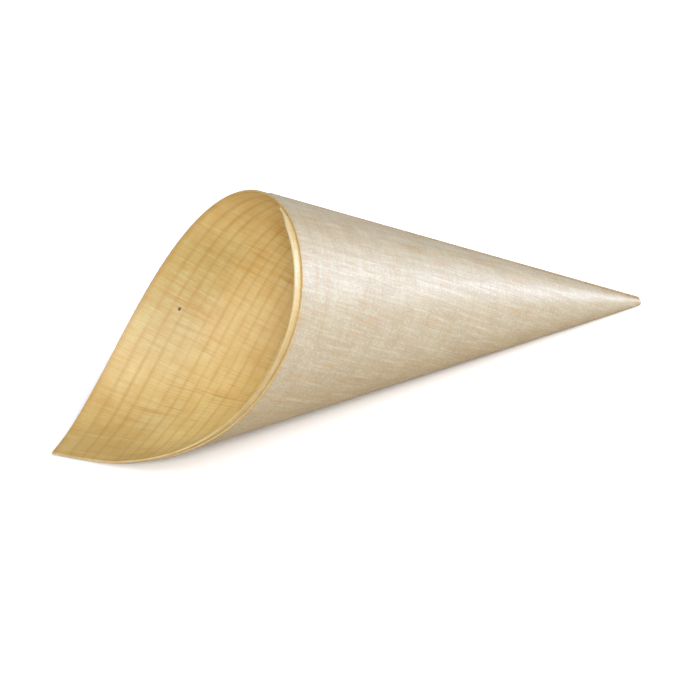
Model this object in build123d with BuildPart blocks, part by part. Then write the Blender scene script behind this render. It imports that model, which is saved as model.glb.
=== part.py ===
"""Food cone rolled from one thin sheet of wood veneer, lying as it rests, in millimetres."""

import math
import os

from build123d import *

# Veneer sheet, with every distance taken in the flat from the point that becomes the cone's tip.
veneer_thickness = 0.6
lip_distance = 127.0
first_edge_distance = 91.8
rim_distance = 90.4
second_edge_distance = 86.0

# Roll: half angle of the cone, and the hairline of glue between two turns.
half_angle = 14.2
glue_gap = 0.03
tip_length_lost = 2.6
tip_bore_radius = 0.08
hidden_end_angle = 632.0

# Where the turns part a little at the near rim, as seen from the lip's side.
near_side_angle = 360.0
inner_dip = 0.35
inner_dip_angle = 24.0
inner_dip_spread = 34.0
outer_swell = 0.3
outer_swell_angle = 365.0
outer_swell_spread = 40.0

# The roll is pressed a little underneath: depth and gentler curve, in shares of the cone's radius.
pressed_depth = 0.0155
pressed_curve = 3.0
pressed_half_angle = 9.0
pressed_blend_angle = 8.0

# The roll rests on the line straight below its centre of mass.
lip_angle = 120.4
rest_angle = 117.5
section_step = 4.0

# Angles of the sheet around the axis: one turn of the roll takes up this much of the flat sheet.
flat_share = math.sin(math.radians(half_angle))
first_edge_foot = lip_angle - math.degrees(math.acos(first_edge_distance / lip_distance)) / flat_share
rim_foot = lip_angle + math.degrees(math.acos(rim_distance / lip_distance)) / flat_share
second_edge_foot = rim_foot + 90 / flat_share
back_corner = rim_foot + math.degrees(math.atan2(second_edge_distance, rim_distance)) / flat_share
turn_pitch = veneer_thickness + glue_gap
axis_tilt = math.atan(math.tan(math.radians(half_angle)) * (1 - pressed_depth))


def edge_distance(angle, foot, distance):
    """Distance along the generator at this angle to a straight edge of the flat sheet."""
    return distance / math.cos(math.radians(angle - foot) * flat_share)


def bump(angle, centre, spread):
    """Smooth hump of height one that fades out at its spread."""
    share = min(abs(angle - centre) / spread, 1)
    return (1 + math.cos(math.pi * share)) / 2


def pressed_share(angle):
    """Share of the round radius left at this angle, where the roll is pressed a little underneath."""
    from_rest = abs((angle - rest_angle + 180) % 360 - 180)
    inside = math.radians(min(from_rest, pressed_half_angle))
    curve_centre = 1 - pressed_depth - pressed_curve
    curve_reach = math.sqrt(pressed_curve**2 - (curve_centre * math.sin(inside)) ** 2)
    curve_share = curve_centre * math.cos(inside) + curve_reach
    if from_rest <= pressed_half_angle:
        return curve_share
    curve_slope = -curve_centre * math.sin(inside) * curve_share / curve_reach
    step = min((from_rest - pressed_half_angle) / pressed_blend_angle, 1)
    rise = 3 * step**2 - 2 * step**3
    leave = curve_slope * math.radians(pressed_blend_angle) * step * (1 - step) ** 2
    return curve_share + (1 - curve_share) * rise + leave


def wall_profile(angle, edge_length):
    """Four corners of the veneer's section at one angle, as distance along the axis and from it."""
    swell = outer_swell * bump(angle, outer_swell_angle, outer_swell_spread)
    dip = inner_dip * bump(angle, inner_dip_angle, inner_dip_spread)
    round_slope = math.radians(half_angle) + (swell - dip) / rim_distance
    slope = math.atan(math.tan(round_slope) * pressed_share(angle))
    outer_depth = turn_pitch * (near_side_angle - angle) / 360
    inner_depth = outer_depth + veneer_thickness
    core_limit = (tip_bore_radius + inner_depth * math.cos(slope)) / math.sin(slope)
    start_length = max(tip_length_lost, core_limit)
    corners = (
        (start_length, outer_depth),
        (edge_length, outer_depth),
        (edge_length, inner_depth),
        (start_length, inner_depth),
    )
    return [
        (
            length * math.cos(slope) + depth * math.sin(slope),
            length * math.sin(slope) - depth * math.cos(slope),
        )
        for length, depth in corners
    ]


def meridian_plane(angle):
    """Plane through the cone's axis, with its second direction pointing out at this angle."""
    turn = math.radians(angle - rest_angle)
    axis = Vector(-math.cos(axis_tilt), 0, math.sin(axis_tilt))
    down = Vector(-math.sin(axis_tilt), 0, -math.cos(axis_tilt))
    outward = down * math.cos(turn) + Vector(0, 1, 0) * math.sin(turn)
    return Plane(origin=(0, 0, 0), x_dir=axis, z_dir=axis.cross(outward))


edges = (
    (lip_angle, first_edge_foot, first_edge_distance),
    (back_corner, rim_foot, rim_distance),
    (hidden_end_angle, second_edge_foot, second_edge_distance),
)

with BuildPart() as roll:
    start_angle = first_edge_foot
    for end_angle, foot, distance in edges:
        section_count = math.ceil((end_angle - start_angle) / section_step)
        for index in range(section_count + 1):
            angle = start_angle + (end_angle - start_angle) * index / section_count
            profile = wall_profile(angle, edge_distance(angle, foot, distance))
            with BuildSketch(meridian_plane(angle)):
                Polygon(*profile, align=None)
        loft()
        start_angle = end_angle

# The frame's origin is under the middle of the roll, on the surface it lies on.
reach = roll.part.bounding_box()

with BuildPart() as rolled_veneer:
    with Locations((-reach.center().X, -reach.center().Y, -reach.min.Z)):
        add(roll.part)

rolled_veneer.part.label = "rolled_veneer"
os.makedirs("parts", exist_ok=True)
export_step(rolled_veneer.part, "parts/rolled_veneer.step")
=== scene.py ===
"""Food cone rolled from wood veneer: its looks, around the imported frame, in metres."""

import math

import bpy
from mathutils import Matrix, Vector


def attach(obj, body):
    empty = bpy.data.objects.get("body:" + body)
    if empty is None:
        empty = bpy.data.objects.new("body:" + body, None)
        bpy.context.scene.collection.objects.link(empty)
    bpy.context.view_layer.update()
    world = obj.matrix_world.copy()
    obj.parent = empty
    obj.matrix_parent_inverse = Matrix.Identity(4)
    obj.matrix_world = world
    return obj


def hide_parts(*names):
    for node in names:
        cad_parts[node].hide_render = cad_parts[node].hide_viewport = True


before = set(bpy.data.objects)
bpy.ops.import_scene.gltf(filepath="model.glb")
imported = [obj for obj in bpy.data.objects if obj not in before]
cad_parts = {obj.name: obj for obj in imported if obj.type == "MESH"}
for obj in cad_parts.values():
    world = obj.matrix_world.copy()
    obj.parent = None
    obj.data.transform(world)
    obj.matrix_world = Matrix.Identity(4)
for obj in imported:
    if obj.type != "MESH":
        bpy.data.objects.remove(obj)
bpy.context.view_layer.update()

# The flat sheet and its roll, as the part has them. Lengths are in metres, angles in degrees.
MM = 0.001
LIP_DISTANCE = 127.0 * MM
FIRST_EDGE_DISTANCE = 91.8 * MM
RIM_DISTANCE = 90.4 * MM
SECOND_EDGE_DISTANCE = 86.0 * MM
HALF_ANGLE = 14.2
LIP_ANGLE = 120.4
REST_ANGLE = 117.5
END_ANGLE = 632.0
PRESSED_DEPTH = 0.0155
PRESSED_CURVE = 3.0
PRESSED_HALF_ANGLE = 9.0
PRESSED_BLEND_ANGLE = 8.0
INNER_DIP_ANGLE = 24.0
INNER_DIP_SPREAD = 34.0
OUTER_SWELL_ANGLE = 365.0
OUTER_SWELL_SPREAD = 40.0
FULL_TURN = 360.0
FLAT_SHARE = math.sin(math.radians(HALF_ANGLE))
FIRST_FOOT = LIP_ANGLE - math.degrees(math.acos(FIRST_EDGE_DISTANCE / LIP_DISTANCE)) / FLAT_SHARE
RIM_FOOT = LIP_ANGLE + math.degrees(math.acos(RIM_DISTANCE / LIP_DISTANCE)) / FLAT_SHARE
SECOND_FOOT = RIM_FOOT + 90 / FLAT_SHARE
BACK_CORNER = RIM_FOOT + math.degrees(math.atan2(SECOND_EDGE_DISTANCE, RIM_DISTANCE)) / FLAT_SHARE
TILT = math.atan(math.tan(math.radians(HALF_ANGLE)) * (1 - PRESSED_DEPTH))
TIP = Vector((64.542, -0.0195, 0.217)) * MM

# Only in the looks. Between the two handover angles the closing up passes from the inner turn to
# the outer one. The worn span is how far round the worn corner reaches.
HANDOVER_START = 120.0
HANDOVER_END = 190.0
WORN_SPAN = 18.0


# Small helpers for node trees.
def put(tree, kind, x=0, y=0, **settings):
    """A new node at a place in the tree, with its settings."""
    node = tree.nodes.new(kind)
    node.location = (x, y)
    for name, value in settings.items():
        setattr(node, name, value)
    return node


def feed(tree, socket, value):
    """Links a socket to another one, or sets its constant."""
    if isinstance(value, bpy.types.NodeSocket):
        tree.links.new(value, socket)
    else:
        socket.default_value = value


def sum_up(tree, operation, *values, clamp=False):
    """One math node fed with sockets or numbers."""
    node = put(tree, "ShaderNodeMath", operation=operation, use_clamp=clamp)
    for socket, value in zip(node.inputs, values):
        feed(tree, socket, value)
    return node.outputs[0]


def vector_of(tree, x, y, z):
    """A vector from three sockets or numbers."""
    node = put(tree, "ShaderNodeCombineXYZ")
    for socket, value in zip(node.inputs, (x, y, z)):
        feed(tree, socket, value)
    return node.outputs[0]


def vector_sum(tree, operation, *values):
    """One vector math node fed with sockets or vectors."""
    node = put(tree, "ShaderNodeVectorMath", operation=operation)
    for socket, value in zip([s for s in node.inputs if s.name != "Scale"], values):
        feed(tree, socket, value)
    return node.outputs[0]


def scaled(tree, vector, factor):
    """A vector times a number."""
    node = put(tree, "ShaderNodeVectorMath", operation="SCALE")
    feed(tree, node.inputs[0], vector)
    feed(tree, node.inputs["Scale"], factor)
    return node.outputs[0]


def noise_over(tree, place, stretch, detail=2.0, roughness=0.5, dimensions="2D"):
    """Noise whose features are one unit wide along a place stretched by a factor in each direction."""
    node = put(tree, "ShaderNodeTexNoise", noise_dimensions=dimensions)
    node.inputs["Scale"].default_value = 1.0
    node.inputs["Detail"].default_value = detail
    node.inputs["Roughness"].default_value = roughness
    feed(tree, node.inputs["Vector"], vector_sum(tree, "MULTIPLY", place, stretch))
    return node.outputs[0]


def open_group(name, kind, inputs, outputs):
    """A node group with named sockets, and its input and output nodes."""
    tree = bpy.data.node_groups.new(name, kind)
    for label, socket_type, value in inputs:
        socket = tree.interface.new_socket(name=label, in_out="INPUT", socket_type=socket_type)
        if value is not None:
            socket.default_value = value
    for label, socket_type in outputs:
        tree.interface.new_socket(name=label, in_out="OUTPUT", socket_type=socket_type)
    source = put(tree, "NodeGroupInput", -1600, 0)
    target = put(tree, "NodeGroupOutput", 1600, 0)
    return tree, source.outputs, target.inputs


# The rolled sheet: a grid in the sheet's own directions, set on the roll and given its thickness.
def bump_of(tree, angle, centre, spread):
    """A smooth hump over the angle, one at its centre and none past its spread."""
    away = sum_up(tree, "ABSOLUTE", sum_up(tree, "SUBTRACT", angle, centre))
    share = sum_up(tree, "MINIMUM", sum_up(tree, "DIVIDE", away, spread), 1.0)
    wave = sum_up(tree, "COSINE", sum_up(tree, "MULTIPLY", share, math.pi))
    return sum_up(tree, "MULTIPLY_ADD", wave, 0.5, 0.5)


def ease_between(tree, value, low, high):
    """A smooth step from none at the low value to one at the high value."""
    node = put(tree, "ShaderNodeMapRange", interpolation_type="SMOOTHSTEP")
    feed(tree, node.inputs["Value"], value)
    feed(tree, node.inputs["From Min"], low)
    feed(tree, node.inputs["From Max"], high)
    return node.outputs["Result"]


def pressed_share_of(tree, angle, depth):
    """Share of the round radius left where the roll is pressed a little underneath."""
    turned = sum_up(tree, "ADD", sum_up(tree, "SUBTRACT", angle, REST_ANGLE), 180.0)
    turned = sum_up(tree, "SUBTRACT", sum_up(tree, "FLOORED_MODULO", turned, FULL_TURN), 180.0)
    from_rest = sum_up(tree, "ABSOLUTE", turned)
    inside = sum_up(tree, "RADIANS", sum_up(tree, "MINIMUM", from_rest, PRESSED_HALF_ANGLE))
    centre = sum_up(tree, "SUBTRACT", 1.0 - PRESSED_CURVE, depth)
    across = sum_up(tree, "MULTIPLY", centre, sum_up(tree, "SINE", inside))
    square = sum_up(tree, "SUBTRACT", PRESSED_CURVE**2, sum_up(tree, "MULTIPLY", across, across))
    reach = sum_up(tree, "SQRT", square)
    share = sum_up(tree, "MULTIPLY_ADD", centre, sum_up(tree, "COSINE", inside), reach)
    slope = sum_up(tree, "DIVIDE", sum_up(tree, "MULTIPLY", across, share), reach)
    slope = sum_up(tree, "MULTIPLY", slope, -math.radians(PRESSED_BLEND_ANGLE))
    past = sum_up(tree, "SUBTRACT", from_rest, PRESSED_HALF_ANGLE)
    step = sum_up(tree, "DIVIDE", past, PRESSED_BLEND_ANGLE, clamp=True)
    square = sum_up(tree, "MULTIPLY", step, step)
    rise = sum_up(tree, "MULTIPLY", square, sum_up(tree, "MULTIPLY_ADD", step, -2.0, 3.0))
    rest_of_step = sum_up(tree, "SUBTRACT", 1.0, step)
    leave = sum_up(tree, "MULTIPLY", step, sum_up(tree, "MULTIPLY", rest_of_step, rest_of_step))
    curve = sum_up(tree, "MULTIPLY_ADD", sum_up(tree, "SUBTRACT", 1.0, share), rise, share)
    return sum_up(tree, "MULTIPLY_ADD", slope, leave, curve)


def make_rolled_sheet():
    """The node tree that rolls a flat sheet with straight edges into a cone of several turns."""
    number, whole = "NodeSocketFloat", "NodeSocketInt"
    tree, given, result = open_group(
        "Rolled Sheet",
        "GeometryNodeTree",
        [
            ("Thickness", number, 0.36 * MM),
            ("Glue Gap", number, 0.03 * MM),
            ("Part Pitch", number, 0.63 * MM),
            ("Tip Length Lost", number, 2.6 * MM),
            ("Tip Bore Radius", number, 0.08 * MM),
            ("Inner Dip", number, 0.05 * MM),
            ("Outer Swell", number, 0.3 * MM),
            ("Pressed Depth", number, PRESSED_DEPTH),
            ("Warp", number, 0.06 * MM),
            ("Edge Wander", number, 0.1 * MM),
            ("Worn Corner", number, 1.1 * MM),
            ("First Columns", whole, 90),
            ("Rim Columns", whole, 180),
            ("Last Columns", whole, 76),
            ("Rows", whole, 90),
            ("Veneer", "NodeSocketMaterial", None),
        ],
        [("Geometry", "NodeSocketGeometry")],
    )
    tree.is_modifier = True
    columns = sum_up(tree, "ADD", given["First Columns"], given["Rim Columns"])
    columns = sum_up(tree, "ADD", columns, given["Last Columns"])
    grid = put(tree, "GeometryNodeMeshGrid")
    feed(tree, grid.inputs["Size X"], columns)
    feed(tree, grid.inputs["Size Y"], given["Rows"])
    feed(tree, grid.inputs["Vertices X"], sum_up(tree, "ADD", columns, 1.0))
    feed(tree, grid.inputs["Vertices Y"], sum_up(tree, "ADD", given["Rows"], 1.0))
    place = put(tree, "ShaderNodeSeparateXYZ")
    feed(tree, place.inputs[0], put(tree, "GeometryNodeInputPosition").outputs[0])
    column = sum_up(tree, "MULTIPLY_ADD", columns, 0.5, place.outputs[0])
    row_share = sum_up(tree, "ADD", sum_up(tree, "DIVIDE", place.outputs[1], given["Rows"]), 0.5)

    # Angle of each column, so that both corners of the sheet fall on a column of their own.
    angle = FIRST_FOOT
    passed = 0.0
    for label, span in (
        ("First Columns", LIP_ANGLE - FIRST_FOOT),
        ("Rim Columns", BACK_CORNER - LIP_ANGLE),
        ("Last Columns", END_ANGLE - BACK_CORNER),
    ):
        into = sum_up(tree, "SUBTRACT", column, passed)
        share = sum_up(tree, "DIVIDE", into, given[label], clamp=True)
        angle = sum_up(tree, "MULTIPLY_ADD", share, span, angle)
        passed = sum_up(tree, "ADD", passed, given[label])

    # Distance from the tip to the straight edge of the sheet that this column runs to.
    reach = 1.0
    for foot, distance in (
        (FIRST_FOOT, FIRST_EDGE_DISTANCE),
        (RIM_FOOT, RIM_DISTANCE),
        (SECOND_FOOT, SECOND_EDGE_DISTANCE),
    ):
        away = sum_up(tree, "MULTIPLY", sum_up(tree, "SUBTRACT", angle, foot), FLAT_SHARE)
        away = sum_up(tree, "RADIANS", away)
        turned = sum_up(tree, "MAXIMUM", sum_up(tree, "COSINE", away), 0.05)
        reach = sum_up(tree, "MINIMUM", reach, sum_up(tree, "DIVIDE", distance, turned))

    # The outer turn swells a little at the near rim, and the inner turn follows it.
    outer_bump = bump_of(tree, angle, OUTER_SWELL_ANGLE, OUTER_SWELL_SPREAD)
    inner_bump = bump_of(tree, angle, OUTER_SWELL_ANGLE - FULL_TURN, OUTER_SWELL_SPREAD)
    both = sum_up(tree, "ADD", outer_bump, inner_bump)
    swell = sum_up(tree, "MULTIPLY", given["Outer Swell"], both)
    dip_bump = bump_of(tree, angle, INNER_DIP_ANGLE, INNER_DIP_SPREAD)
    dip = sum_up(tree, "MULTIPLY", given["Inner Dip"], dip_bump)
    lean = sum_up(tree, "DIVIDE", sum_up(tree, "SUBTRACT", swell, dip), RIM_DISTANCE)
    round_slope = sum_up(tree, "ADD", lean, math.radians(HALF_ANGLE))
    pressed = pressed_share_of(tree, angle, given["Pressed Depth"])
    slope = sum_up(tree, "MULTIPLY", sum_up(tree, "TANGENT", round_slope), pressed)
    slope = sum_up(tree, "ARCTANGENT", slope)
    slope_sine = sum_up(tree, "SINE", slope)
    slope_cosine = sum_up(tree, "COSINE", slope)
    turns_left = sum_up(tree, "DIVIDE", sum_up(tree, "SUBTRACT", FULL_TURN, angle), FULL_TURN)
    depth = sum_up(tree, "MULTIPLY", given["Part Pitch"], turns_left)

    # The turns of the thin veneer close up. Where the sheet starts, the inner turn moves out and the
    # outer one keeps the part's outside. Towards the sheet's end the outer turn moves in instead.
    thin_pitch = sum_up(tree, "ADD", given["Thickness"], given["Glue Gap"])
    slack = sum_up(tree, "SUBTRACT", given["Part Pitch"], thin_pitch)
    under = ease_between(tree, angle, HANDOVER_START, HANDOVER_END)
    over = ease_between(tree, angle, HANDOVER_START + FULL_TURN, HANDOVER_END + FULL_TURN)
    close_up = sum_up(tree, "SUBTRACT", 1.0, sum_up(tree, "ADD", under, over))
    depth = sum_up(tree, "SUBTRACT", depth, sum_up(tree, "MULTIPLY", slack, close_up))
    inner_depth = sum_up(tree, "ADD", depth, given["Thickness"])
    core = sum_up(tree, "MULTIPLY_ADD", inner_depth, slope_cosine, given["Tip Bore Radius"])
    start = sum_up(tree, "MAXIMUM", given["Tip Length Lost"], sum_up(tree, "DIVIDE", core, slope_sine))

    # The cut edge wanders a little, always inwards.
    along_edge = vector_of(tree, angle, 0.0, 0.0)
    wander = noise_over(tree, along_edge, (0.4, 0.0, 0.0), detail=4.0, roughness=0.6)
    reach = sum_up(tree, "SUBTRACT", reach, sum_up(tree, "MULTIPLY", wander, given["Edge Wander"]))
    # The corner where the inner turn starts is worn off.
    worn = ease_between(tree, angle, FIRST_FOOT + WORN_SPAN, FIRST_FOOT)
    reach = sum_up(tree, "SUBTRACT", reach, sum_up(tree, "MULTIPLY", worn, given["Worn Corner"]))
    length = sum_up(tree, "MULTIPLY_ADD", sum_up(tree, "SUBTRACT", reach, start), row_share, start)

    from_foot = sum_up(tree, "SUBTRACT", angle, RIM_FOOT)
    flat_angle = sum_up(tree, "RADIANS", sum_up(tree, "MULTIPLY_ADD", from_foot, FLAT_SHARE, 90.0))
    flat_x = sum_up(tree, "MULTIPLY", length, sum_up(tree, "COSINE", flat_angle))
    flat_y = sum_up(tree, "MULTIPLY", length, sum_up(tree, "SINE", flat_angle))

    # Directions of the roll: along its axis towards the mouth, and out at this column's angle.
    turn = sum_up(tree, "RADIANS", sum_up(tree, "SUBTRACT", angle, REST_ANGLE))
    turn_cosine = sum_up(tree, "COSINE", turn)
    outward = vector_of(
        tree,
        sum_up(tree, "MULTIPLY", turn_cosine, -math.sin(TILT)),
        sum_up(tree, "SINE", turn),
        sum_up(tree, "MULTIPLY", turn_cosine, -math.cos(TILT)),
    )
    axis = (-math.cos(TILT), 0.0, math.sin(TILT))
    normal = vector_sum(
        tree,
        "ADD",
        scaled(tree, outward, slope_cosine),
        scaled(tree, axis, sum_up(tree, "MULTIPLY", slope_sine, -1.0)),
    )
    along = vector_sum(tree, "ADD", scaled(tree, outward, slope_sine), scaled(tree, axis, slope_cosine))
    ideal = scaled(tree, along, length)

    # Both plies share one gentle unevenness, because it depends on the place and not on the ply.
    unevenness = noise_over(tree, ideal, (60.0, 90.0, 90.0), dimensions="3D")
    fading = sum_up(tree, "DIVIDE", length, RIM_DISTANCE, clamp=True)
    warp = sum_up(tree, "MULTIPLY", sum_up(tree, "MULTIPLY", unevenness, given["Warp"]), fading)
    outer_depth = sum_up(tree, "ADD", depth, warp)
    outer = vector_sum(
        tree,
        "ADD",
        vector_sum(tree, "SUBTRACT", ideal, scaled(tree, normal, outer_depth)),
        tuple(TIP),
    )

    # Every value is stored on the grid before its points move.
    mesh = grid.outputs["Mesh"]
    for label, value in (
        ("roll_place", outer),
        ("roll_normal", normal),
        ("sheet", vector_of(tree, flat_x, flat_y, angle)),
    ):
        store = put(tree, "GeometryNodeStoreNamedAttribute", data_type="FLOAT_VECTOR", domain="POINT")
        feed(tree, store.inputs["Geometry"], mesh)
        store.inputs["Name"].default_value = label
        feed(tree, store.inputs["Value"], value)
        mesh = store.outputs[0]
    place_value = put(tree, "GeometryNodeInputNamedAttribute", data_type="FLOAT_VECTOR")
    place_value.inputs["Name"].default_value = "roll_place"
    rolled = put(tree, "GeometryNodeSetPosition")
    feed(tree, rolled.inputs["Geometry"], mesh)
    feed(tree, rolled.inputs["Position"], place_value.outputs[0])

    # The thickness: the outer face is pushed in for the inner one, and both are kept.
    normal_value = put(tree, "GeometryNodeInputNamedAttribute", data_type="FLOAT_VECTOR")
    normal_value.inputs["Name"].default_value = "roll_normal"
    thick = put(tree, "GeometryNodeExtrudeMesh", mode="FACES")
    feed(tree, thick.inputs["Mesh"], rolled.outputs[0])
    thick.inputs["Individual"].default_value = False
    feed(tree, thick.inputs["Offset"], scaled(tree, normal_value.outputs[0], -1.0))
    feed(tree, thick.inputs["Offset Scale"], given["Thickness"])
    cut = put(tree, "GeometryNodeStoreNamedAttribute", data_type="FLOAT", domain="FACE")
    feed(tree, cut.inputs["Geometry"], thick.outputs["Mesh"])
    cut.inputs["Name"].default_value = "cut_edge"
    feed(tree, cut.inputs["Value"], thick.outputs["Side"])
    inward = put(tree, "GeometryNodeStoreNamedAttribute", data_type="FLOAT", domain="FACE")
    feed(tree, inward.inputs["Geometry"], cut.outputs[0])
    inward.inputs["Name"].default_value = "inner_face"
    feed(tree, inward.inputs["Value"], thick.outputs["Top"])
    outer_face = put(tree, "GeometryNodeFlipFaces")
    feed(tree, outer_face.inputs[0], rolled.outputs[0])
    joined = put(tree, "GeometryNodeJoinGeometry")
    feed(tree, joined.inputs[0], outer_face.outputs[0])
    feed(tree, joined.inputs[0], inward.outputs[0])
    merged = put(tree, "GeometryNodeMergeByDistance")
    feed(tree, merged.inputs["Geometry"], joined.outputs[0])
    merged.inputs["Distance"].default_value = 0.002 * MM
    smooth = put(tree, "GeometryNodeSetShadeSmooth")
    feed(tree, smooth.inputs["Geometry"], merged.outputs[0])
    realized = put(tree, "GeometryNodeRealizeInstances")
    feed(tree, realized.inputs[0], smooth.outputs[0])
    painted = put(tree, "GeometryNodeSetMaterial")
    feed(tree, painted.inputs["Geometry"], realized.outputs[0])
    feed(tree, painted.inputs["Material"], given["Veneer"])
    feed(tree, result["Geometry"], painted.outputs[0])
    return tree


# Shader groups for the wood.

# Growth rings: how many fewer there are by the rim than at an even spacing, and how far in that
# and their darkening by the rim reach, in millimetres. Then how slowly one ring darkens towards
# its line and how sharply it ends, in shares of the spacing.
RINGS_FEWER = 1.3
RINGS_FEWER_REACH = 5.0
RIM_DARK_REACH = 7.0
RING_DARKENING = 0.17
RING_ENDING = 0.12

# An oval spot fades out at this many times its half sizes.
OVAL_BORDER = 1.3


def make_growth_rings():
    """Dark lines of late wood along the far rim, wider apart and stronger close to it."""
    number = "NodeSocketFloat"
    tree, given, result = open_group(
        "Growth Rings",
        "ShaderNodeTree",
        [
            ("Sheet", "NodeSocketVector", None),
            ("Ring Spacing", number, 2.1),
            ("Wander", number, 0.14),
        ],
        [("Line", number)],
    )
    flat = put(tree, "ShaderNodeSeparateXYZ")
    feed(tree, flat.inputs[0], given["Sheet"])
    from_rim = sum_up(tree, "SUBTRACT", RIM_DISTANCE / MM, flat.outputs[1])
    sway = noise_over(tree, given["Sheet"], (0.035, 0.09, 0.0), detail=3.0)
    swaying = sum_up(tree, "MULTIPLY", sum_up(tree, "SUBTRACT", sway, 0.5), given["Wander"])
    fade = sum_up(tree, "EXPONENT", sum_up(tree, "DIVIDE", from_rim, -RINGS_FEWER_REACH))
    count = sum_up(tree, "DIVIDE", from_rim, given["Ring Spacing"])
    fewer = sum_up(tree, "MULTIPLY", sum_up(tree, "SUBTRACT", fade, 1.0), RINGS_FEWER)
    count = sum_up(tree, "ADD", count, fewer)
    count = sum_up(tree, "ADD", count, sum_up(tree, "MULTIPLY", swaying, 2.0))
    nearest = sum_up(tree, "ROUND", count)
    past = sum_up(tree, "SUBTRACT", count, nearest)
    # Each ring darkens slowly towards its line and ends sharply after it.
    rise = sum_up(tree, "DIVIDE", sum_up(tree, "MAXIMUM", past, 0.0), RING_DARKENING)
    fall = sum_up(tree, "DIVIDE", sum_up(tree, "MINIMUM", past, 0.0), -RING_ENDING)
    off = sum_up(tree, "ADD", rise, fall)
    line = sum_up(tree, "EXPONENT", sum_up(tree, "MULTIPLY", sum_up(tree, "MULTIPLY", off, off), -1.0))
    own = put(tree, "ShaderNodeTexWhiteNoise", noise_dimensions="1D")
    feed(tree, own.inputs["W"], nearest)
    strength = sum_up(tree, "MULTIPLY_ADD", own.outputs[0], 0.45, 0.3)
    near_rim = sum_up(tree, "EXPONENT", sum_up(tree, "DIVIDE", from_rim, -RIM_DARK_REACH))
    strength = sum_up(tree, "ADD", strength, sum_up(tree, "MULTIPLY", near_rim, 0.7))
    patches = noise_over(tree, given["Sheet"], (0.25, 0.5, 0.0), detail=4.0)
    strength = sum_up(tree, "MULTIPLY", strength, sum_up(tree, "MULTIPLY_ADD", patches, 1.3, 0.35))
    feed(tree, result["Line"], sum_up(tree, "MULTIPLY", line, strength, clamp=True))
    return tree


def make_cross_rays():
    """Hairlines across the growth rings: dark and pale ones, and where they gather."""
    number = "NodeSocketFloat"
    tree, given, result = open_group(
        "Cross Rays",
        "ShaderNodeTree",
        [("Sheet", "NodeSocketVector", None), ("Fineness", number, 1.0)],
        [("Dark Ray", number), ("Pale Ray", number), ("Gathered", number), ("Weave", number)],
    )
    spot = scaled(tree, given["Sheet"], given["Fineness"])
    fine = noise_over(tree, spot, (4.2, 0.17, 0.0), detail=4.0, roughness=0.7)
    broad = noise_over(tree, spot, (1.1, 0.07, 0.0), detail=2.0)
    cluster = noise_over(tree, given["Sheet"], (0.22, 0.1, 0.0), detail=3.0)
    gathered = sum_up(tree, "MULTIPLY", sum_up(tree, "SUBTRACT", cluster, 0.5), 4.5, clamp=True)
    both = sum_up(tree, "ADD", sum_up(tree, "MULTIPLY", fine, 0.65), sum_up(tree, "MULTIPLY", broad, 0.35))
    dark = sum_up(tree, "MULTIPLY", sum_up(tree, "SUBTRACT", both, 0.5), 8.0, clamp=True)
    pale = sum_up(tree, "MULTIPLY", sum_up(tree, "SUBTRACT", 0.5, both), 6.0, clamp=True)
    weave = noise_over(tree, spot, (0.22, 3.2, 0.0), detail=3.0, roughness=0.6)
    feed(tree, result["Dark Ray"], dark)
    feed(tree, result["Pale Ray"], pale)
    feed(tree, result["Gathered"], gathered)
    feed(tree, result["Weave"], weave)
    return tree


def make_soft_oval():
    """A mask for one oval spot at a place on the sheet, with a soft border."""
    number = "NodeSocketFloat"
    tree, given, result = open_group(
        "Soft Oval",
        "ShaderNodeTree",
        [
            ("Sheet", "NodeSocketVector", None),
            ("Across", number, 0.0),
            ("Along", number, 0.0),
            ("Half Width", number, 1.0),
            ("Half Length", number, 1.0),
            ("Sharpness", number, 1.0),
        ],
        [("Mask", number)],
    )
    flat = put(tree, "ShaderNodeSeparateXYZ")
    feed(tree, flat.inputs[0], given["Sheet"])
    square = 0.0
    for place, middle, half in (("X", "Across", "Half Width"), ("Y", "Along", "Half Length")):
        off = sum_up(tree, "SUBTRACT", flat.outputs[place], given[middle])
        off = sum_up(tree, "DIVIDE", off, given[half])
        square = sum_up(tree, "MULTIPLY_ADD", off, off, square)
    inside = sum_up(tree, "SUBTRACT", OVAL_BORDER, sum_up(tree, "SQRT", square))
    feed(tree, result["Mask"], sum_up(tree, "MULTIPLY", inside, given["Sharpness"], clamp=True))
    return tree


def mixed(tree, factor, first, second, blend="MIX"):
    """Two colours mixed by a factor."""
    node = put(tree, "ShaderNodeMix", data_type="RGBA", blend_type=blend)
    feed(tree, node.inputs[0], factor)
    feed(tree, node.inputs[6], first)
    feed(tree, node.inputs[7], second)
    return node.outputs[2]


def use_group(tree, group, **values):
    """A group node with some of its inputs set."""
    node = put(tree, "ShaderNodeGroup")
    node.node_tree = group
    for name, value in values.items():
        feed(tree, node.inputs[name.replace("_", " ")], value)
    return node.outputs


def attribute(tree, name):
    """A value stored on the piece."""
    return put(tree, "ShaderNodeAttribute", attribute_name=name, attribute_type="GEOMETRY")


def gather_ovals(tree, oval, sheet, places):
    """One mask from several ovals on the sheet."""
    total = 0.0
    for across, along, half_width, half_length, strength in places:
        spot = use_group(
            tree,
            oval,
            Sheet=sheet,
            Across=across,
            Along=along,
            Half_Width=half_width,
            Half_Length=half_length,
        )
        total = sum_up(tree, "MULTIPLY_ADD", spot["Mask"], strength, total)
    return total


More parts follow.
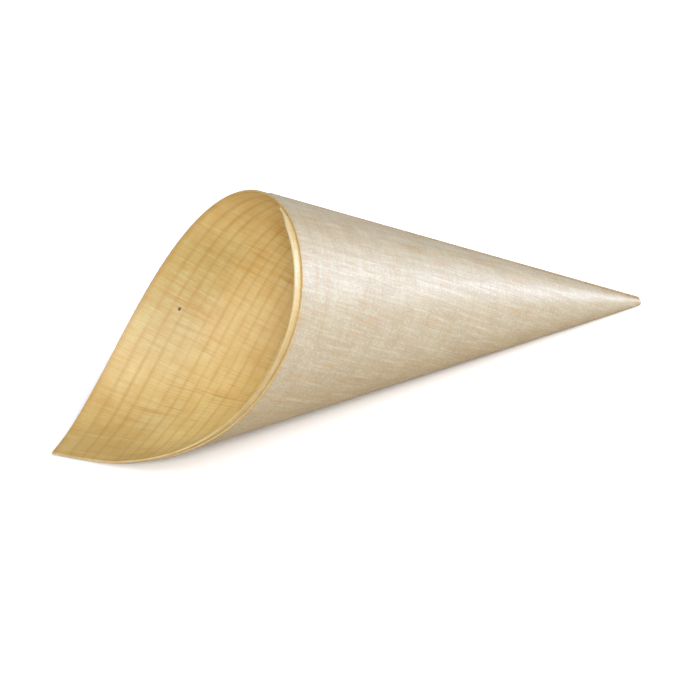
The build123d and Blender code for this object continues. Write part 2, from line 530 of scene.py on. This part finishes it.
# Where rays gather on the sheet, and its darker patches: across, along, half sizes and strength.
RAY_GROUPS = (
    (29.3, 75.3, 1.4, 3.5, 0.8),
    (35.0, 75.5, 2.0, 3.2, 0.6),
    (51.5, 74.0, 2.0, 3.6, 0.8),
    (61.3, 73.5, 2.2, 6.0, 0.8),
    (48.0, 82.5, 7.0, 3.5, 0.7),
    (72.0, 80.0, 4.0, 5.0, 0.4),
)
DARK_PATCHES = (
    (-2.5, 76.5, 1.2, 2.2, 0.9),
    (-3.3, 64.0, 1.2, 5.0, 0.6),
    (-1.5, 43.0, 1.0, 5.0, 0.6),
    (-20.5, 71.0, 1.6, 2.4, 0.4),
    (-34.5, 66.0, 3.0, 6.0, 0.6),
    (-22.0, 44.0, 2.5, 6.0, 0.6),
    (-14.0, 29.0, 2.5, 5.0, 0.6),
)

# The one dark fleck: across, along and half sizes.
FLECK_SPOT = (47.4, 82.9, 0.36, 0.26)

# Colours of the wood, painted light and shade, and tints that multiply them.
# The two golds are painted light: light bounced inside the cone and let through the thin veneer.
BOUNCE_LIT_GOLD = (0.75, 0.522, 0.178, 1)
BOUNCE_LIT_LIGHT_GOLD = (0.82, 0.638, 0.262, 1)
PALE_WOOD = (0.455, 0.38, 0.255, 1)
LIGHT_PALE_WOOD = (0.53, 0.465, 0.335, 1)
PALE_RAY = (0.88, 0.78, 0.52, 1)
WEAVE = (0.60, 0.42, 0.18, 1)
SPECK = (0.80, 0.77, 0.68, 1)
DARK_RAY = (0.58, 0.30, 0.075, 1)
LATE_WOOD = (0.52, 0.28, 0.07, 1)
DARK_PATCH = (0.40, 0.20, 0.06, 1)
FLECK = (0.09, 0.02, 0.006, 1)
# Painted highlight on the cut edge where the inner turn starts.
LIT_CUT_HIGHLIGHT = (0.86, 0.72, 0.44, 1)
# Painted shade for the lip inside: darker and deeper gold.
LIP_SHADE_TINT = (0.87, 0.79, 0.58, 1)
# Painted light for the inner face by the lower rim, brighter than the wood.
LOWER_RIM_LIGHT_TINT = (1.15, 1.16, 1.12, 1)
UNDERSIDE_TINT = (0.87, 0.67, 0.30, 1)
FAR_RIM_TINT = (0.76, 0.79, 0.74, 1)
STRIP_TINT = (0.82, 0.80, 0.76, 1)
# Painted shade that darkens the cut edges.
CUT_SHADE_TINT = (0.80, 0.75, 0.64, 1)

# Where a tone starts and where it is full: millimetres across, along or both added, on the sheet.
# Painted shade at the lip.
LIP_SHADE_SPAN = (147.0, 162.0)
# Painted light at the lower rim, along and across.
LOWER_RIM_LIGHT_ALONG = (78.0, 68.0)
LOWER_RIM_LIGHT_ACROSS = (46.0, 62.0)
FAR_RIM_ALONG = (73.0, 82.0)
FAR_RIM_ONE_SIDE = (66.0, 50.0)
FAR_RIM_OTHER_SIDE = (26.0, 36.0)

# The same in degrees round the roll.
UNDERSIDE_SPAN = (375.0, 440.0)
# Painted bounce light on the cut edges fades out between these angles.
BOUNCE_LIT_CUT_SPAN = (600.0, 590.0)
INNER_TURN_SPAN = (115.0, 105.0)
STRIP_SPAN = (-5.0, 20.0)
# Painted highlight on the cut edge, by angle.
LIT_CUT_SPAN = (5.0, -15.0)


def product(tree, *values):
    """Several masks or numbers multiplied."""
    total = values[0]
    for value in values[1:]:
        total = sum_up(tree, "MULTIPLY", total, value)
    return total


def tinted(tree, factor, base, tint):
    """A colour multiplied by a tint, as far as the factor says."""
    return mixed(tree, factor, base, tint, "MULTIPLY")


def broad_tones_and_painted_light(tree, base, across, along, angle, inner, bounce_lit_side):
    """Painted shade deeper gold at the lip, painted light brighter at the lower rim, browner low outside,
    darker at the far rim.
    """
    lip_shade = ease_between(tree, sum_up(tree, "ADD", across, along), *LIP_SHADE_SPAN)
    # Painted shade: the inner face darker and deeper gold towards the lip.
    base = tinted(tree, product(tree, lip_shade, inner), base, LIP_SHADE_TINT)
    # Painted light: the inner face brighter by the lower rim.
    lower_rim_light = product(tree, ease_between(tree, along, *LOWER_RIM_LIGHT_ALONG), inner)
    lower_rim_light = product(tree, lower_rim_light, ease_between(tree, across, *LOWER_RIM_LIGHT_ACROSS))
    base = tinted(tree, lower_rim_light, base, LOWER_RIM_LIGHT_TINT)
    low = ease_between(tree, angle, *UNDERSIDE_SPAN)
    low = product(tree, low, sum_up(tree, "SUBTRACT", 1.0, bounce_lit_side))
    base = tinted(tree, low, base, UNDERSIDE_TINT)
    far = product(tree, ease_between(tree, along, *FAR_RIM_ALONG), inner)
    far = product(tree, far, ease_between(tree, across, *FAR_RIM_ONE_SIDE))
    far = product(tree, far, ease_between(tree, across, *FAR_RIM_OTHER_SIDE))
    return tinted(tree, far, base, FAR_RIM_TINT)


def wood_figure(tree, base, sheet, inner, ring, ray, oval):
    """Rays, weave, specks, growth rings, darker patches and one dark fleck over the wood's colour."""
    gathered = gather_ovals(tree, oval, sheet, RAY_GROUPS)
    gathered = sum_up(tree, "MULTIPLY_ADD", ray["Gathered"], 0.5, gathered)
    dark_ray = product(tree, ray["Dark Ray"], sum_up(tree, "MULTIPLY_ADD", gathered, 0.85, 0.22))
    base = mixed(tree, product(tree, ray["Pale Ray"], 0.34), base, PALE_RAY)
    base = mixed(tree, product(tree, ray["Weave"], 0.3), base, WEAVE)
    specks = noise_over(tree, sheet, (1.6, 2.4, 0.0), detail=4.0, roughness=0.7)
    specks = sum_up(tree, "MULTIPLY", sum_up(tree, "SUBTRACT", specks, 0.52), 7.0, clamp=True)
    specks = product(tree, specks, sum_up(tree, "MULTIPLY_ADD", inner, -0.2, 0.3))
    base = mixed(tree, specks, base, SPECK)
    base = mixed(tree, dark_ray, base, DARK_RAY)
    ring_line = product(tree, ring["Line"], sum_up(tree, "MULTIPLY_ADD", inner, 0.27, 0.2))
    base = mixed(tree, ring_line, base, LATE_WOOD)
    patches = gather_ovals(tree, oval, sheet, DARK_PATCHES)
    patches = product(tree, patches, sum_up(tree, "MULTIPLY_ADD", ray["Dark Ray"], 0.45, 0.15))
    base = mixed(tree, patches, base, DARK_PATCH)
    across, along, half_width, half_length = FLECK_SPOT
    fleck = use_group(
        tree,
        oval,
        Sheet=sheet,
        Across=across,
        Along=along,
        Half_Width=half_width,
        Half_Length=half_length,
        Sharpness=2.0,
    )
    return mixed(tree, product(tree, fleck["Mask"], inner), base, FLECK)


def make_veneer(rings, rays, oval):
    """Bare pale veneer: growth rings, rays, a fine fibre relief and a satin sheen, with painted light and
    shade in its colour.
    """
    material = bpy.data.materials.new("wood_veneer")
    material.use_nodes = True
    tree = material.node_tree
    tree.nodes.clear()
    sheet = scaled(tree, attribute(tree, "sheet").outputs["Vector"], 1.0 / MM)
    flat = put(tree, "ShaderNodeSeparateXYZ")
    feed(tree, flat.inputs[0], sheet)
    across, along = flat.outputs[0], flat.outputs[1]
    angle = sum_up(tree, "MULTIPLY", flat.outputs[2], MM)
    inner = attribute(tree, "inner_face").outputs["Fac"]
    cut = attribute(tree, "cut_edge").outputs["Fac"]
    ring = use_group(tree, rings, Sheet=sheet)
    ray = use_group(tree, rays, Sheet=sheet)

    # Painted light: the golden colour on the inner face, on the cut edges and at the start of the inner
    # turn paints light bounced inside the cone and let through the thin veneer, on the same wood that is
    # pale outside.
    tone = noise_over(tree, sheet, (0.16, 0.3, 0.0), detail=5.0, roughness=0.55)
    tone = sum_up(tree, "MULTIPLY", sum_up(tree, "SUBTRACT", tone, 0.3), 2.5, clamp=True)
    bounce_lit_colour = mixed(tree, tone, BOUNCE_LIT_GOLD, BOUNCE_LIT_LIGHT_GOLD)
    pale = mixed(tree, tone, PALE_WOOD, LIGHT_PALE_WOOD)
    bounce_lit_cut = product(tree, cut, ease_between(tree, angle, *BOUNCE_LIT_CUT_SPAN))
    inner_turn = product(tree, ease_between(tree, angle, *INNER_TURN_SPAN), 0.8)
    bounce_lit_side = sum_up(tree, "MAXIMUM", inner, sum_up(tree, "MAXIMUM", bounce_lit_cut, inner_turn))
    base = mixed(tree, bounce_lit_side, pale, bounce_lit_colour)
    base = broad_tones_and_painted_light(tree, base, across, along, angle, inner, bounce_lit_side)
    base = wood_figure(tree, base, sheet, inner, ring, ray, oval)

    # The inner turn's outer face, seen as a strip at the near rim, is shaded away from its start.
    outer_face = sum_up(tree, "SUBTRACT", 1.0, sum_up(tree, "MAXIMUM", inner, cut))
    strip = product(tree, inner_turn, outer_face, ease_between(tree, angle, *STRIP_SPAN))
    base = tinted(tree, strip, base, STRIP_TINT)
    # Painted highlight makes the cut edge pale where the inner turn starts, and painted shade makes it a
    # little darker than the face elsewhere.
    base = tinted(tree, product(tree, cut, 0.9), base, CUT_SHADE_TINT)
    base = mixed(tree, product(tree, cut, ease_between(tree, angle, *LIT_CUT_SPAN)), base, LIT_CUT_HIGHLIGHT)

    relief = sum_up(tree, "MULTIPLY", ray["Dark Ray"], -0.7)
    relief = sum_up(tree, "MULTIPLY_ADD", ray["Weave"], 0.5, relief)
    relief = sum_up(tree, "MULTIPLY_ADD", ring["Line"], 0.4, relief)
    bump = put(tree, "ShaderNodeBump")
    bump.inputs["Strength"].default_value = 0.35
    bump.inputs["Distance"].default_value = 0.06 * MM
    feed(tree, bump.inputs["Height"], relief)

    wood = put(tree, "ShaderNodeBsdfPrincipled")
    feed(tree, wood.inputs["Base Color"], base)
    feed(tree, wood.inputs["Roughness"], sum_up(tree, "MULTIPLY_ADD", ray["Weave"], 0.3, 0.28))
    feed(tree, wood.inputs["Normal"], bump.outputs[0])
    wood.inputs["Specular IOR Level"].default_value = 1.0
    wood.inputs["Subsurface Weight"].default_value = 0.1
    wood.inputs["Subsurface Radius"].default_value = (1.0, 0.6, 0.25)
    wood.inputs["Subsurface Scale"].default_value = 1.0 * MM
    output = put(tree, "ShaderNodeOutputMaterial")
    feed(tree, output.inputs["Surface"], wood.outputs[0])
    return material


def make_cone(veneer):
    """The rolled sheet as a finished mesh."""
    holder = bpy.data.objects.new("veneer_cone", bpy.data.meshes.new("veneer_cone"))
    bpy.context.collection.objects.link(holder)
    tree = make_rolled_sheet()
    rolling = holder.modifiers.new("Roll", "NODES")
    rolling.node_group = tree
    sockets = {item.name: item.identifier for item in tree.interface.items_tree if item.in_out == "INPUT"}
    rolling[sockets["Veneer"]] = veneer
    softened = holder.modifiers.new("Softened Edges", "BEVEL")
    softened.width = 0.05 * MM
    softened.segments = 2
    softened.limit_method = "ANGLE"
    softened.angle_limit = math.radians(50)
    softened.harden_normals = True
    scene_state = bpy.context.evaluated_depsgraph_get()
    finished = bpy.data.meshes.new_from_object(holder.evaluated_get(scene_state))
    finished.name = "veneer_cone"
    holder.modifiers.clear()
    holder.data = finished
    return holder


veneer = make_veneer(make_growth_rings(), make_cross_rays(), make_soft_oval())
cone = make_cone(veneer)
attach(cone, "root")
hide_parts("rolled_veneer")


# Floor, light and camera. The target of the lights is just above the middle of the footprint.
LIGHT_TARGET = (0.0, 0.0, 0.02)
FLOOR_GREY = (0.7, 0.7, 0.7, 1)
FLOOR_AS_SEEN = (1.3, 1.3, 1.3, 1)
ROUND_LIGHT = 0.25


def make_floor():
    """A plain pale floor, which the camera sees as white."""
    mesh = bpy.data.meshes.new("floor")
    half = 1.6
    corners = [(-half, -half, 0), (half, -half, 0), (half, half, 0), (-half, half, 0)]
    mesh.from_pydata(corners, [], [(0, 1, 2, 3)])
    floor = bpy.data.objects.new("floor", mesh)
    bpy.context.collection.objects.link(floor)
    material = bpy.data.materials.new("floor_white")
    material.use_nodes = True
    tree = material.node_tree
    tree.nodes.clear()
    seen = put(tree, "ShaderNodeLightPath").outputs["Is Camera Ray"]
    shade = put(tree, "ShaderNodeBsdfDiffuse")
    feed(tree, shade.inputs["Color"], mixed(tree, seen, FLOOR_GREY, FLOOR_AS_SEEN))
    output = put(tree, "ShaderNodeOutputMaterial")
    feed(tree, output.inputs["Surface"], shade.outputs[0])
    mesh.materials.append(material)


def make_light(name, place, size, power, tint=(1, 1, 1)):
    """A soft light of a width and a height that faces the cone."""
    data = bpy.data.lights.new(name, "AREA")
    data.shape = "RECTANGLE"
    data.size, data.size_y = size
    data.energy = power
    data.color = tint
    light = bpy.data.objects.new(name, data)
    light.location = place
    light.rotation_euler = (Vector(LIGHT_TARGET) - Vector(place)).to_track_quat("-Z", "Y").to_euler()
    bpy.context.collection.objects.link(light)


def make_surroundings():
    """A soft light from all round, seen by the camera as pure white."""
    world = bpy.data.worlds.new("studio")
    world.use_nodes = True
    tree = world.node_tree
    tree.nodes.clear()
    path = put(tree, "ShaderNodeLightPath")
    seen = sum_up(tree, "MAXIMUM", path.outputs["Is Camera Ray"], path.outputs["Is Transmission Ray"])
    shade = put(tree, "ShaderNodeBackground")
    feed(tree, shade.inputs["Color"], (1, 1, 1, 1))
    feed(tree, shade.inputs["Strength"], sum_up(tree, "MULTIPLY_ADD", seen, 1.0 - ROUND_LIGHT, ROUND_LIGHT))
    output = put(tree, "ShaderNodeOutputWorld")
    feed(tree, output.inputs["Surface"], shade.outputs[0])
    bpy.context.scene.world = world


def make_camera():
    """The camera, where the photograph's lines put it."""
    right = Vector((0.90270148, -0.42970078, -0.02207456))
    up = Vector((0.23602054, 0.4516226, 0.86042509))
    back = right.cross(up)
    data = bpy.data.cameras.new("camera")
    data.sensor_width = 36.0
    data.lens = 184.2
    data.clip_end = 20.0
    camera = bpy.data.objects.new("camera", data)
    place = Vector((-248.08, -536.15, 356.09)) * MM
    axes = Matrix((right, up, back)).transposed().to_4x4()
    camera.matrix_world = Matrix.Translation(place) @ axes
    bpy.context.collection.objects.link(camera)
    bpy.context.scene.camera = camera


make_floor()
make_surroundings()
make_light("side_window", (0.83, -0.16, 0.32), (0.6, 0.4), 5.0, (0.86, 0.97, 1.22))
make_light("mouth_fill", (-0.8, -0.5, 0.22), (0.6, 0.4), 1.5)
make_light("front_fill", (-0.4, -0.8, 0.6), (0.3, 0.3), 5.5)
make_light("top_sheet", (0.0, -0.45, 0.8), (0.9, 0.9), 3.4)
make_camera()

scene = bpy.context.scene
scene.view_settings.view_transform = "Standard"
scene.view_settings.look = "None"
